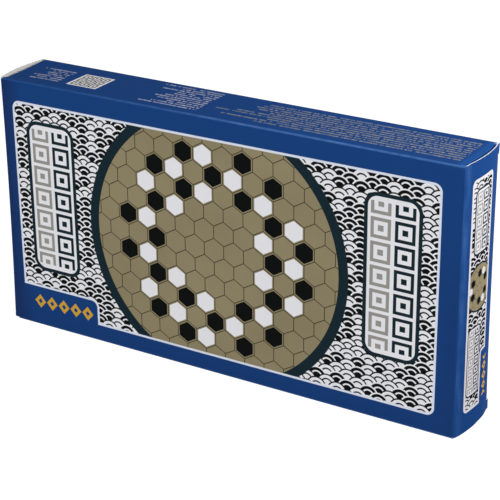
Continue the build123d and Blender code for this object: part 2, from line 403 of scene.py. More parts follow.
def lay_roundel(finish, mask, across, up, centre, radius, pitch):
    """Tan disc with a honeycomb, and a wreath of black and white cells."""
    dx, dy = across - centre[0], up - centre[1]
    edge = span(dx, dy) - radius
    finish.lay(mask * inside(edge - radius * 0.075), TEAL)
    disc = mask * inside(edge)
    shade = finish.noise(18.0, 2.0, UV_NAME)
    finish.lay(disc, TAN)
    finish.lay(disc * shade * 0.35, TAN_LINE)
    gap, kind, cell = hexagons(dx, dy, pitch)
    finish.lay(disc * inside(gap - pitch * 0.018), TAN_LINE)
    ring = abs(span(*cell) - radius * 0.58).below(radius * 0.2)
    tile = disc * inside(pitch * 0.07 - gap)
    finish.lay(tile * ring * kind.below(0.5), BLACK)
    finish.lay(tile * ring * abs(kind - 1.0).below(0.5), finish.white)


def lay_nested(finish, mask, across, up, pitch, ink):
    """Row of nested squares, one in each step of the pitch."""
    reach = larger(abs(across.wrap(pitch / 2)), abs(up))
    outer = stroke(reach - pitch * 0.36, pitch * 0.14)
    core = inside(reach - pitch * 0.12)
    finish.lay(mask * larger(outer, core), ink)


def lay_plaque(finish, mask, across, up, centre, half, pitch):
    """Upright white plaque with a dark rim, and two columns of nested squares."""
    edge = box_edge(across, up, centre, half, half[0] * 0.4)
    finish.lay(mask * inside(edge - pitch * 0.16), TEAL)
    plaque = mask * inside(edge)
    finish.lay(plaque, finish.white)
    rows = plaque * inside(abs(up - centre[1]) - (half[1] - pitch * 0.2))
    for side, ink in ((-1, SILVER), (1, TEAL)):
        lay_nested(finish, rows, up - centre[1], across - (centre[0] + side * half[0] * 0.48), pitch, ink)


def lay_lozenges(finish, mask, across, up, pitch, half_height):
    """Row of yellow lozenges, each with a hollow heart."""
    dx = abs(across.wrap(pitch / 2))
    edge = dx * (half_height / (pitch * 0.46)) + abs(up) - half_height
    finish.lay(mask * inside(edge), YELLOW)
    finish.lay(mask * inside(edge + half_height * 0.62), BLUE)


def lay_rows(finish, across, up, low, high, ragged, pitch, ink, seed):
    """Rows of plain dashes between two corners, flush right, and ragged on the left by up to a length."""
    rise = (up - low[1]) / pitch
    row = rise.floor()
    half_height = 0.22
    word_length = 1.1
    letter_length = 0.62
    left_out = 0.14
    level = abs(rise - row - 0.5) - half_height
    start = chance(row, row, seed) * ragged + low[0]
    block = inside(larger(larger(start - across, across - high[0]), larger(low[1] - up, up - high[1])))
    shift = across + chance(row, row, seed + 1.0) * 9.0
    word = (shift / word_length).floor()
    kept = number(finish.tree, "GREATER_THAN", chance(word, row, seed), left_out)
    letter = (shift / letter_length).floor()
    weight = chance(letter, row, seed + 2.0) * 0.6 + 0.2
    finish.lay(block * inside(level, 0.2) * kept * weight, ink)


# Finishes of the carton board

def printed_board(name, base=BLUE):
    """Satin-varnished blue print, lighter along the folds: partly rubbed wear, partly a painted highlight.
    """
    finish = Finish(name, base, 0.45, specular=0.002)
    cloud = finish.noise(9.0, 3.0, UV_NAME)
    finish.lay(cloud * 0.10, colour(14, 40, 84))
    rub_and_highlight = finish.noise(160.0, 4.0, UV_NAME) * finish.noise(8.0, 2.0, UV_NAME)
    wear = finish.attribute(WEAR_AND_HIGHLIGHT_NAME)
    # Rubbed wear and painted highlight along the folds.
    finish.lay(wear * rub_and_highlight * 1.6, WEAR_AND_HIGHLIGHT_BLUE)
    finish.grade(finish.noise(55.0, 4.0, UV_NAME), 0.38, 0.52)
    finish.relief(finish.noise(2600.0, 2.0, UV_NAME), 0.012 * MM)
    finish.relief(finish.noise(14.0, 1.0, UV_NAME), 0.5 * MM)
    return finish


def front_print(top_of_path):
    """Front panel: keyline frame with a bay, scales, and a roundel between two plaques."""
    finish = printed_board("front_print")
    width, path = finish.print_place()
    across = width + SIDE / MM
    up = top_of_path / MM - path
    from_right = 2 * SIDE / MM - across
    # Painted shade: the front's blue is darkened toward its left edge, its lower right and its foot.
    painted_shade_left = inside(across - 8.0, soft=14.0)
    painted_shade_right = inside(from_right - 9.0, soft=14.0) * inside(up - 95.0, soft=50.0)
    painted_shade_foot = inside(up - 22.0, soft=40.0)
    finish.lay(painted_shade_left * 0.8, PAINTED_SHADE_BLUE)
    finish.lay(painted_shade_right * 0.3, PAINTED_SHADE_BLUE)
    finish.lay(painted_shade_foot * 0.2, PAINTED_SHADE_BLUE)
    middle = (147.55, 78.65)
    tilted_up = up * (from_right * FRAME_TILT + 1.0)
    bay = box_edge(across, up, centre=(22.0, 4.0), half=(41.5, 22.7), corner=4.5)
    outline = box_edge(across, tilted_up, middle, half=(139.05, 67.25), corner=4.5)
    edge = larger(outline, -bay)
    picture = inside(edge)
    lay_scales(finish, picture, across, up, radius=6.5)
    lay_roundel(finish, picture, across, up, middle, radius=80.0, pitch=13.0)
    for centre in ((34.5, 86.5), (259.5, 86.5)):
        lay_plaque(finish, picture, across, up, centre, half=(15.0, 46.0), pitch=14.0)
    finish.lay(stroke(edge + 0.2, width=1.4), KEYLINE)
    mark_middle = (37.5, 16.5)
    mark_half = 22.5
    mark = inside(abs(across - mark_middle[0]) - mark_half)
    lay_lozenges(finish, mark, across - mark_middle[0], up - mark_middle[1], pitch=9.0, half_height=4.6)
    return finish.material


def end_print(fold_of_path):
    """End panel: tall keyline frame with a bay, scales, and a roundel between two plaques."""
    finish = printed_board("end_print")
    # Painted shade: the end panel's white is a darker copy, toning down the brighter light on that side.
    finish.white = END_SHADED_WHITE
    up, path = finish.print_place()
    across = path - fold_of_path / MM
    scuffed = inside(abs(across - 2.5) - 3.0, soft=5.0)
    blotches = inside(0.52 - finish.noise(90.0, 5.0, UV_NAME, stretch=(0.5, 1.2, 1.0)), soft=0.25)
    finish.lay(scuffed * blotches * 0.16, WEAR_AND_HIGHLIGHT_BLUE)
    bay = box_edge(across, up, centre=(45.2, 10.0), half=(20.0, 33.8), corner=2.0)
    outline = box_edge(across, up, centre=(20.2, 79.5), half=(11.3, 67.5), corner=3.0)
    edge = larger(outline, -bay)
    picture = inside(edge)
    lay_scales(finish, picture, across, up, radius=5.5)
    lay_roundel(finish, picture, across, up, centre=(20.2, 84.0), radius=13.2, pitch=4.6)
    lay_plaque(finish, picture, across, up, centre=(20.2, 122.5), half=(7.2, 18.0), pitch=7.0)
    lay_plaque(finish, picture, across, up, centre=(17.0, 41.0), half=(6.2, 20.0), pitch=6.0)
    finish.lay(stroke(edge + 0.35, width=1.6), finish.white)
    mark_middle = (31.5, 26.5)
    mark_half = 12.0
    mark = inside(abs(up - mark_middle[1]) - mark_half)
    lay_lozenges(finish, mark, up - mark_middle[1], across - mark_middle[0], pitch=6.0, half_height=3.0)
    return finish.material


def top_print(front_of_path):
    """Top panel: blocks of dashes, and a small pale square of nested squares."""
    finish = printed_board("top_print")
    width, path = finish.print_place()
    across = width + SIDE / MM
    up = front_of_path / MM - path
    from_right = 2 * SIDE / MM - across
    # Painted shade: darker blue toward the top panel's right end, toning down the light there.
    finish.lay(inside(from_right - 60.0, soft=80.0) * 0.18, PAINTED_SHADE_BLUE)
    # Painted highlight: a lighter band along the top panel's right end, beside the fold.
    finish.lay(inside(from_right - 5.4, soft=3.0) * 0.32, SHEEN_BLUE)
    row_pitch = 3.0
    lay_rows(finish, across, up, (11.0, 9.0), (35.0, 30.0), 10.0, row_pitch, ROW_PALE, seed=11.0)
    lay_rows(finish, across, up, (92.0, 5.6), (133.0, 38.6), 19.0, row_pitch, ROW_PALE, seed=23.0)
    lay_rows(finish, across, up, (139.0, 6.0), (293.0, 36.0), 36.0, row_pitch, ROW_GREY, seed=37.0)
    centre = (52.0, 19.3)
    square = box_edge(across, up, centre, half=(10.4, 10.2), corner=0.3)
    finish.lay(inside(square), WHITE)
    nest_pitch = 6.2
    nest_up = (up - centre[1]).wrap(nest_pitch / 2)
    lay_nested(finish, inside(square + 1.2), across - centre[0], nest_up, nest_pitch, BLACK)
    return finish.material


def back_print(bottom_of_path):
    """Back panel: keyline frame with rows of dashes beside a honeycomb."""
    finish = printed_board("back_print")
    width, path = finish.print_place()
    across = SIDE / MM - width
    up = path - bottom_of_path / MM
    edge = box_edge(across, up, centre=(150.0, 79.0), half=(139.5, 67.0), corner=4.5)
    picture = inside(edge)
    lay_roundel(finish, picture, across, up, centre=(86.0, 79.0), radius=48.0, pitch=9.0)
    for column in range(2):
        for block in range(3):
            low = (162.0 + 60.0 * column, 98.0 - 38.0 * block)
            high = (low[0] + 52.0, low[1] + 30.0)
            lay_rows(finish, across, up, low, high, 16.0, 3.0, WHITE, 41.0 + 3 * column + 7 * block)
    finish.lay(stroke(edge, width=1.0), WHITE)
    return finish.material


def plain_print():
    return printed_board("plain_print").material


def left_strip_print():
    """Strip of the front panel beside the left fold, darkened with painted shade like the front's left edge.
    """
    return printed_board("left_strip_print", LEFT_SHADE_BLUE).material


def rim_print():
    """Strip of the top and bottom panels beside the right mouth, lightened with a painted highlight."""
    return printed_board("rim_print", RIM_HIGHLIGHT_BLUE).material


def crease_print():
    """Dark line of painted shade where a dust flap folds down behind the end panel, standing for the shadow
    in the slit.
    """
    return printed_board("crease_print", CREASE_SHADE_BLUE).material


def bare_board():
    """Unprinted grey-white inside of the boxboard, with fibres."""
    finish = Finish("bare_board", BOARD_GREY, 0.85, specular=0.25)
    finish.lay(finish.noise(700.0, 5.0, UV_NAME) * 0.3, colour(178, 174, 164))
    finish.lay(finish.noise(40.0, 3.0, UV_NAME) * 0.25, colour(196, 194, 188))
    finish.relief(finish.noise(1500.0, 4.0, UV_NAME), 0.03 * MM)
    return finish.material


def cut_board():
    """Raw white edge of the boxboard."""
    finish = Finish("cut_board", CUT_WHITE, 0.9, specular=0.2)
    finish.lay(finish.noise(1800.0, 3.0) * 0.3, colour(192, 194, 198))
    finish.relief(finish.noise(3000.0, 3.0), 0.03 * MM)
    return finish.material


# Paths of the folded sheets, as points with the normal on their right

class Path:
    """Points along a folded sheet's outer face, with normals, lengths along it and the wear and painted
    highlight at folds.
    """

    def __init__(self):
        self.points = []
        self.normals = []
        self.lengths = []
        self.wear = []
        self.steps = []

    def add(self, point, normal, wear_and_highlight_level, step):
        if self.points:
            gap = (point - self.points[-1]).length
            if gap < 1e-7:
                self.wear[-1] = max(self.wear[-1], wear_and_highlight_level)
                return
            self.lengths.append(self.lengths[-1] + gap)
            self.steps.append(step)
        else:
            self.lengths.append(0.0)
        self.points.append(point)
        self.normals.append(normal)
        self.wear.append(wear_and_highlight_level)

    def straight(self, start, end, count, step):
        """A straight stretch, with points closer together near its ends."""
        start, end = Vector(start), Vector(end)
        along = end - start
        normal = Vector((along.y, -along.x)).normalized()
        for index in range(count + 1):
            share = (1 - math.cos(math.pi * index / count)) / 2
            self.add(start + along * share, normal, 0.0, step)

    def arc(self, centre, radius, first, last, count, step, wear_and_highlight_level=1.0):
        """A round stretch between two angles, with its wear and painted highlight strongest at its middle.
        """
        for index in range(count + 1):
            angle = first + (last - first) * index / count
            normal = Vector((math.cos(angle), math.sin(angle)))
            rubbed_and_lit = wear_and_highlight_level * math.sin(math.pi * index / count)
            self.add(Vector(centre) + normal * radius, normal, rubbed_and_lit, step)

    def here(self):
        return self.lengths[-1]


def eased(count):
    """Shares from 0 to 1, closer together near both ends."""
    return [(1 - math.cos(math.pi * index / count)) / 2 for index in range(count + 1)]


def ramp(value, start, end):
    """Share from 0 to 1 of the way from start to end."""
    return min(max((value - start) / (end - start), 0.0), 1.0)


def first_row(row, share):
    """The start of a path, where most pieces meet the one before."""
    return row == 0


def smooth(value, start, end):
    """Share from 0 to 1 of the way from start to end, level at both."""
    share = ramp(value, start, end)
    return share * share * (3 - 2 * share)


def folded_sheet(
    name, path, spans, basis, finishes, shares, keep=None, settle=None, rubbed_and_lit=None, joined=first_row
):
    """Thin board along a path: print outside, bare board inside, raw edges where it is joined to nothing."""
    origin, along_a, along_b, along_t = (Vector(axis) for axis in basis)
    names = list(dict.fromkeys(path.steps))
    mesh = bpy.data.meshes.new(name)
    for step in names:
        mesh.materials.append(finishes[step])
    mesh.materials.append(finishes["bare"])
    mesh.materials.append(finishes["cut"])
    bare_slot, cut_slot = len(names), len(names) + 1
    shape = bmesh.new()
    wear_and_highlight_layer = shape.verts.layers.float.new(WEAR_AND_HIGHLIGHT_NAME)
    uv_layer = shape.loops.layers.uv.new(UV_NAME)
    place = {}
    partner = {}
    seams = set()
    outer, inner = [], []
    for row, (point, normal, length, wear_and_highlight_level, (low, high)) in enumerate(
        zip(path.points, path.normals, path.lengths, path.wear, spans)
    ):
        out = along_a * normal.x + along_b * normal.y
        outer.append([])
        inner.append([])
        for share in shares:
            across = low + (high - low) * share
            spot = origin + along_a * point.x + along_b * point.y + along_t * across
            if settle:
                spot = settle(spot)
            rub_and_highlight = wear_and_highlight_level * rubbed_and_lit(spot) if rubbed_and_lit else wear_and_highlight_level
            face_vert = shape.verts.new(spot)
            deep_vert = shape.verts.new(spot - out * CARD)
            for vert in (face_vert, deep_vert):
                vert[wear_and_highlight_layer] = rub_and_highlight
                place[vert] = (across, length)
            partner[face_vert] = deep_vert
            if joined(row, share):
                seams.add(face_vert)
            outer[-1].append(face_vert)
            inner[-1].append(deep_vert)
    printed = []
    for row in range(len(path.points) - 1):
        for column in range(len(shares) - 1):
            if keep and not keep(row, (shares[column] + shares[column + 1]) / 2):
                continue
            corners = ((row, column), (row + 1, column), (row + 1, column + 1), (row, column + 1))
            face = shape.faces.new([outer[r][c] for r, c in corners])
            face.material_index = names.index(path.steps[row])
            printed.append(face)
            back = shape.faces.new([inner[r][c] for r, c in reversed(corners)])
            back.material_index = bare_slot
    rims = [edge for face in printed for edge in face.edges if len(edge.link_faces) == 1]
    for edge in rims:
        first, second = edge.verts
        wall = shape.faces.new((first, second, partner[second], partner[first]))
        wall.material_index = 0 if first in seams and second in seams else cut_slot
    for face in shape.faces:
        face.smooth = True
        for loop in face.loops:
            loop[uv_layer].uv = place[loop.vert]
    bmesh.ops.delete(shape, geom=[v for v in shape.verts if not v.link_faces], context="VERTS")
    bmesh.ops.recalc_face_normals(shape, faces=shape.faces)
    shape.to_mesh(mesh)
    shape.free()
    mesh.set_sharp_from_angle(angle=math.radians(24))
    piece = bpy.data.objects.new(name, mesh)
    bpy.context.scene.collection.objects.link(piece)
    return piece


# The bowed end panel's outer circle, its fold on the front panel and its fold to the tuck tab
bow = end_high.x - SIDE
chord = TUCK_Y - HINGE_Y
bow_radius = (chord**2 / 4 + bow**2) / (2 * bow)
bow_centre = Vector((HINGE_X + bow - bow_radius, (HINGE_Y + TUCK_Y) / 2))
bow_outer = bow_radius + CARD / 2
front_fold_y = FRONT + END_FOLD
front_fold_x = bow_centre.x + math.sqrt((bow_outer - END_FOLD) ** 2 - (front_fold_y - bow_centre.y) ** 2)
front_fold_stop = math.atan2(front_fold_y - bow_centre.y, front_fold_x - bow_centre.x)
front_seam = front_fold_x - SEAM_STRIP
front_corner = math.asin((FRONT - bow_centre.y) / bow_outer)
tab_seam = math.asin((TUCK_Y - SEAM_STRIP - bow_centre.y) / bow_outer)
dust_seam = DUST_X + CARD / 2 - DUST_FOLD - SEAM_STRIP
dust_rim = DUST_X - CARD / 2
ear_low = tab_low.z - TAB_SLIT
ear_high = tab_high.z + TAB_SLIT
ear_y = TUCK_Y - SEAM_STRIP


def right_shift(y, z):
    """How far the right end panel has moved along X: in at the top, and out at the back of the bottom."""
    turn = smooth(y, FRONT, FRONT + RIGHT_TURN)
    at_fold, past_turn, to_back = RIGHT_TOP_MOVES
    top = (at_fold + past_turn * turn + to_back * smooth(y, *RIGHT_TOP_RUN)) * MM
    at_fold, past_turn, to_back = RIGHT_FOOT_MOVES
    foot = (at_fold + past_turn * turn + to_back * smooth(y, *RIGHT_FOOT_RUN)) * MM
    return top + (foot - top) * (1 - z / HEIGHT) ** RIGHT_FOOT_POWER


def left_shift(y, z):
    """How far the left end panel has moved along X: in at the middle of its fold, and out at the bottom."""
    share = z / HEIGHT
    at_fold = (LEFT_FOOT + LEFT_RISE * share + LEFT_BOW * share * (1 - share)) * MM
    return at_fold * (1 - LEFT_EASE * smooth(y, FRONT, FRONT + LEFT_EASE_REACH))


def ear_slant(spot):
    """How far the top ear's edge draws in, from its full reach at the top to the slit beside the tab."""
    if spot.z <= ear_high - EDGE_DROP:
        return 0.0
    below = 1 - ramp(spot.z, ear_high, HEIGHT)
    return EAR_SLANT * below * ramp(spot.y, ear_y, end_high.y)


def lean(spot):
    """How far the front panel's top right corner leans back."""
    along = ramp(spot.x, SIDE - LEAN_REACH, SIDE) ** 2
    behind = 1 - ramp(spot.y, FRONT, FRONT + LEAN_DEPTH)
    return LEAN * along * behind * ramp(spot.z, HEIGHT - LEAN_DEPTH, HEIGHT) ** 2


def fainter_left(spot):
    """Share of the rubbing and painted highlight that is left at a place on the sleeve's folds, fading
    toward the left, away from the light.
    """
    return FAINTEST_RUB_AND_HIGHLIGHT + (1 - FAINTEST_RUB_AND_HIGHLIGHT) * ramp(spot.x, -SIDE, SIDE)


def sleeve_path():
    """Section of the sleeve: up the back, over the top, down the front, under and up into the glue lap."""
    path = Path()
    marks = {}
    near, far = FRONT + PANEL_FOLD, BACK - PANEL_FOLD
    high = HEIGHT - PANEL_FOLD
    thumb_low, thumb_high = MIDDLE - THUMB_RADIUS, MIDDLE + THUMB_RADIUS
    quarter = math.pi / 2
    path.straight((BACK, LAP_EDGE), (BACK, thumb_low), 12, "back")
    path.straight((BACK, thumb_low), (BACK, thumb_high), 24, "back")
    path.straight((BACK, thumb_high), (BACK, high), 12, "back")
    path.arc((far, high), PANEL_FOLD, 0.0, quarter, 8, "plain")
    marks["top_end"] = path.here() + far - FRONT
    path.straight((far, HEIGHT), (dust_high.y + CARD, HEIGHT), 4, "top")
    path.straight((dust_high.y + CARD, HEIGHT), (dust_high.y, HEIGHT), 1, "top")
    path.straight((dust_high.y, HEIGHT), (dust_low.y, HEIGHT), 20, "top")
    path.straight((dust_low.y, HEIGHT), (near, HEIGHT), 1, "top")
    path.arc((near, high), PANEL_FOLD, quarter, 2 * quarter, 8, "plain")
    marks["front_top"] = path.here() + high
    path.straight((FRONT, high), (FRONT, PANEL_FOLD), 30, "front")
    path.arc((near, PANEL_FOLD), PANEL_FOLD, 2 * quarter, 3 * quarter, 8, "plain")
    path.straight((near, 0.0), (dust_low.y, 0.0), 1, "plain")
    path.straight((dust_low.y, 0.0), (dust_high.y, 0.0), 20, "plain")
    lap_y = BACK - CARD - LAP_SEAT
    path.straight((dust_high.y, 0.0), (lap_y - TAB_FOLD, 0.0), 2, "plain")
    path.arc((lap_y - TAB_FOLD, TAB_FOLD), TAB_FOLD, 3 * quarter, 4 * quarter, 6, "plain")
    path.straight((lap_y, TAB_FOLD), (lap_y, LAP_TOP), 6, "bare")
    return path, marks


def sleeve_reach(point, normal):
    """Half length of the sleeve at a point of its section."""
    if normal.x > 0.9 and point.x < BACK - CARD / 2:
        return LAP_END - LAP_TAPER * point.y / LAP_TOP
    if normal.x > 0.9:
        off = abs(point.y - MIDDLE)
        notch = math.sqrt(max(THUMB_RADIUS**2 - off**2, 0.0))
        return dust_rim - notch
    if normal.x < -0.999:
        return front_seam
    if dust_low.y - 1e-6 <= point.x <= dust_high.y + 1e-6:
        return dust_seam
    if point.x < dust_low.y:
        return front_fold_x + right_shift(FRONT, HEIGHT)
    return dust_rim


def bulge(spot):
    """How far a point at the sleeve's right end moves, to lie close to the end panel."""
    inner = bow_centre.x + math.sqrt((bow_outer - CARD) ** 2 - (spot.y - bow_centre.y) ** 2)
    room = inner + right_shift(spot.y, spot.z) - BULGE_GAP - (DUST_X + CARD / 2)
    between = ramp(spot.y, FRONT, dust_low.y) * ramp(spot.y, BACK, dust_high.y)
    return room * between * ramp(spot.x, SIDE - BULGE_REACH, SIDE) ** 2


def sag(spot):
    """How far a point at the top's left end has sunk, between the front fold and the back fold."""
    between = ramp(spot.y, FRONT, FRONT + SAG_FRONT) * ramp(spot.y, BACK, 0.0)
    return SAG * ramp(-spot.x, SIDE - SAG_REACH, SIDE) ** 2 * between


def settled_sleeve(spot):
    drop = sag(spot) * ramp(spot.z, HEIGHT - SAG_DEPTH, HEIGHT)
    return spot + Vector((bulge(spot), lean(spot), -drop))


def settled_flap(spot):
    drop = sag(spot) if spot.z > MIDDLE else 0.0
    return spot + Vector((bulge(spot), 0, -drop))


def settled_end(spot):
    """Place of a point of an end panel or its tab, which stay inside the panel's box."""
    shift = right_shift(spot.y, spot.z) if spot.x > 0 else left_shift(spot.y, spot.z)
    x = spot.x + shift * ramp(abs(spot.x), front_seam, front_fold_x)
    y = spot.y + lean(spot) - ear_slant(spot)
    return Vector((min(max(x, -end_high.x), end_high.x), y, spot.z))


def end_path():
    """Section of an end panel: a strip of the front panel, the fold, the bow and the ears past it."""
    path = Path()
    path.straight((front_seam, FRONT), (front_fold_x, FRONT), 3, "plain")
    crease_row = len(path.points) - 1
    path.arc((front_fold_x, front_fold_y), END_FOLD, -math.pi / 2, front_fold_stop, 8, "end", wear_and_highlight_level=0.1)
    corner = path.here() - bow_outer * (front_fold_stop - front_corner)
    path.arc(bow_centre, bow_outer, front_fold_stop, tab_seam, 26, "end", wear_and_highlight_level=0.0)
    seam_row = len(path.points) - 1
    path.straight(path.points[-1], (path.points[-1].x + EAR_FLARE, end_high.y - EDGE_DROP), 3, "end")
    return path, corner, crease_row, seam_row


def end_spans(path, crease_row):
    """Bottom and top of an end panel; its strip of the front panel ends at the sleeve's folds."""
    spans = []
    crease = path.lengths[crease_row]
    for row, length in enumerate(path.lengths):
        rise = PANEL_FOLD * (1 - smooth(length, crease, crease + CORNER_RISE))
        if row < crease_row:
            spans.append((PANEL_FOLD, HEIGHT - PANEL_FOLD * 0.8))
        else:
            spans.append((EDGE_DROP + rise, HEIGHT - EDGE_DROP))
    return spans


def tab_path():
    """Section of a tuck tab: a strip of the end panel, the fold and the tongue that leans in."""
    hinge = Vector((HINGE_X, TUCK_Y))
    corners = [vertex.co.xy - hinge for vertex in frame["nodes"]["right_tuck_tab"].data.vertices]
    farthest = max(corner.length for corner in corners)
    tips = [corner for corner in corners if corner.length > farthest - 0.01 * MM]
    reach = (max(tips, key=lambda tip: tip.y) + min(tips, key=lambda tip: tip.y)) / 2
    along = reach.normalized()
    normal = Vector((along.y, -along.x))
    base = hinge + normal * (CARD / 2 - TAB_FOLD) - bow_centre
    half = base.dot(along)
    slide = -half - math.sqrt(half**2 - base.length_squared + (bow_outer - TAB_FOLD) ** 2)
    centre = bow_centre + base + along * slide
    first = math.atan2(centre.y - bow_centre.y, centre.x - bow_centre.x)
    last = math.atan2(normal.y, normal.x)
    start = centre + normal * TAB_FOLD
    length = reach.length - slide
    path = Path()
    path.arc(bow_centre, bow_outer, tab_seam, first, 3, "end", wear_and_highlight_level=0.0)
    path.arc(centre, TAB_FOLD, first, last, 8, "plain", wear_and_highlight_level=0.4)
    path.straight(start, start + along * INK_BLEED, 4, "plain")
    path.straight(start + along * INK_BLEED, start + along * (length - TAB_CORNER), 1, "bare")
    path.straight(start + along * (length - TAB_CORNER), start + along * length, 8, "bare")
    return path


def dust_path():
    """Section of a dust flap, in depth below the panel that it hangs on."""
    outer = DUST_X + CARD / 2
    length = dust_high.z - dust_low.z
    path = Path()
    # The rim strip takes a painted highlight on the right flaps.
    path.straight((dust_seam, 0.0), (outer - DUST_FOLD, 0.0), 3, "rim")
    middle = (outer - DUST_FOLD, DUST_FOLD)
    path.arc(middle, DUST_FOLD, -math.pi / 2, CREASE_START, 2, "rim", wear_and_highlight_level=0.2)
    # Past this angle the fold carries the painted shade of the slit.
    path.arc(middle, DUST_FOLD, CREASE_START, 0.0, 6, "crease", wear_and_highlight_level=0.0)
    path.straight((outer, DUST_FOLD), (outer, DUST_FOLD + INK_BLEED), 4, "plain")
    path.straight((outer, DUST_FOLD + INK_BLEED), (outer, length - DUST_CORNER), 8, "bare")
    path.straight((outer, length - DUST_CORNER), (outer, length), 8, "bare")
    return path


def corner_cut(left, radius):
    """How far a round corner draws an edge in, at a distance left before the tip."""
    if left >= radius:
        return 0.0
    return radius - math.sqrt(max(radius**2 - (radius - left) ** 2, 0.0))


def tab_spans(path):
    spans = []
    for length in path.lengths:
        cut = corner_cut(path.here() - length, TAB_CORNER)
        spans.append((tab_low.z + cut, tab_high.z - cut))
    return spans


def dust_spans(path):
    """Front and back edge of a dust flap, which narrows from its crease to its tip."""
    node = frame["nodes"]["right_top_dust_flap"].data.vertices
    tip_line = dust_low.z + DUST_CORNER
    tip = [v.co.y for v in node if v.co.z < tip_line + CARD]
    crease = path.lengths[3]
    total = path.here()
    spans = []
    for length in path.lengths:
        share = max(length - crease, 0.0) / (total - crease)
        cut = corner_cut(total - length, DUST_CORNER)
        low = dust_low.y + (min(tip) - dust_low.y) * share + cut
        high = dust_high.y + (max(tip) - dust_high.y) * share - cut
        spans.append((low, high))
    return spans


# Carton
sleeve, sleeve_marks = sleeve_path()
end, end_corner, end_crease_row, end_seam_row = end_path()
finishes = {
    "plain": plain_print(),
    "front": front_print(sleeve_marks["front_top"]),
    "top": top_print(sleeve_marks["top_end"]),
    "back": back_print(-LAP_EDGE),
    "end": end_print(end_corner),
    "bare": bare_board(),
    "cut": cut_board(),
    "crease": crease_print(),
}
# The left end panel's strip of the front panel carries painted shade.
end_finishes = {"right": finishes, "left": {**finishes, "plain": left_strip_print()}}
dust_finishes = {
    "right": {**finishes, "rim": rim_print()},
    "left": {**finishes, "rim": finishes["plain"]},
}
reaches = [sleeve_reach(point, normal) for point, normal in zip(sleeve.points, sleeve.normals)]


def meets_flap(row, share):
    """Whether the sleeve's end runs on into a flap or an end panel there."""
    return share in (0, 1) and reaches[row] in (front_seam, dust_seam)


sleeve_piece = folded_sheet(
    "carton_sleeve_board",
    sleeve,
    [(-reach, reach) for reach in reaches],
    ((0, 0, 0), (0, 1, 0), (0, 0, 1), (1, 0, 0)),
    finishes,
    eased(40),
    settle=settled_sleeve,
    rubbed_and_lit=fainter_left,
    joined=meets_flap,
)
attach(sleeve_piece, "carton")
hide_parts("carton_sleeve")

end_height = HEIGHT - 2 * EDGE_DROP
ear_shares = [(level - EDGE_DROP) / end_height for level in (ear_low, ear_high)]
end_shares = sorted(set(eased(30) + ear_shares))


def in_end_panel(row, share):
    """Whether a cell belongs to the end panel: past the tab's seam only the ears go on."""
    return row < end_seam_row or not ear_shares[0] < share < ear_shares[1]


def meets_next(row, share):
    """Whether the end panel runs on there: into the front panel, or into its tab between the ears."""
    return row == 0 or row == end_seam_row and ear_shares[0] <= share <= ear_shares[1]


def creased(piece, node):
    """Bakes a piece's placement into its mesh, and lets it stand for its solid."""
    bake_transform(piece)
    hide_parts(node)


for side, sign in (("right", 1), ("left", -1)):
    end_node, tab_node = f"{side}_end_panel", f"{side}_tuck_tab"
    upright = ((0, 0, 0), (sign, 0, 0), (0, 1, 0), (0, 0, 1))
    end_piece = folded_sheet(
        f"{end_node}_board",
        end,
        end_spans(end, end_crease_row),
        upright,
        end_finishes[side],
        end_shares,
        keep=in_end_panel,
        settle=settled_end,
        joined=meets_next,
    )
    creased(end_piece, end_node)
    tab = tab_path()
    tab_piece = folded_sheet(
        f"{tab_node}_board", tab, tab_spans(tab), upright, finishes, eased(24), settle=settled_end
    )
    creased(tab_piece, tab_node)
    for level, down in (("top", -1), ("bottom", 1)):
        dust_node = f"{side}_{level}_dust_flap"
        rim_z = HEIGHT if level == "top" else 0.0
        flap = dust_path()
        flat = ((0, 0, rim_z), (sign, 0, 0), (0, 0, down), (0, 1, 0))
        dust_piece = folded_sheet(
            f"{dust_node}_board",
            flap,
            dust_spans(flap),
            flat,
            dust_finishes[side],
            eased(12),
            settle=settled_flap,
        )
        creased(dust_piece, dust_node)


# Finishes of what the carton holds

def moulded_plastic(name, base, specks, rough):
    finish = Finish(name, base, rough, specular=0.4)
    finish.lay(finish.noise(60.0, 4.0) * 0.4, specks)
    finish.grade(finish.noise(240.0, 3.0), rough - 0.08, rough + 0.1)
    finish.relief(finish.noise(2200.0, 3.0), 0.03 * MM)
    return finish.material


def polished_stone(name, base, cloud):
    finish = Finish(name, base, 0.18, specular=0.5)
    finish.lay(finish.noise(130.0, 4.0) * 0.45, cloud)
    finish.grade(finish.noise(420.0, 3.0), 0.12, 0.3)
    return finish.material


def drawn_metal(name, base, rough, stretch):
    finish = Finish(name, base, rough, metallic=1.0)
    streak = finish.noise(900.0, 3.0, "Object", stretch)
    finish.lay(streak * 0.35, colour(120, 120, 118))
    finish.grade(streak, rough - 0.08, rough + 0.14)
    finish.relief(streak, 0.01 * MM)
    return finish.material


def playing_film():
    """Tan film with the board's lines."""
    finish = Finish("playing_film", TAN, 0.5, specular=0.35)
    low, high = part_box("front_playing_sheet")
    across, _, up = finish.solid_place()
    grain = finish.noise(30.0, 5.0, "Object", (1.0, 1.0, 9.0))
    finish.lay(grain * 0.4, colour(118, 106, 76))
    lines = 19
    half_line = 0.35
    step_across = (high.x - low.x) / MM / lines
    step_up = (high.z - low.z) / MM / (lines / 2)
    line_across = abs((across + step_across / 2).wrap(step_across / 2)) - half_line
    line_up = abs((up - low.z / MM).wrap(step_up / 2)) - half_line
    lattice = larger(inside(line_across), inside(line_up))
    board = inside(abs(across) - step_across * (lines // 2) - half_line)
    finish.lay(lattice * board, TAN_LINE)
    finish.relief(finish.noise(1600.0, 2.0), 0.01 * MM)
    return finish.material


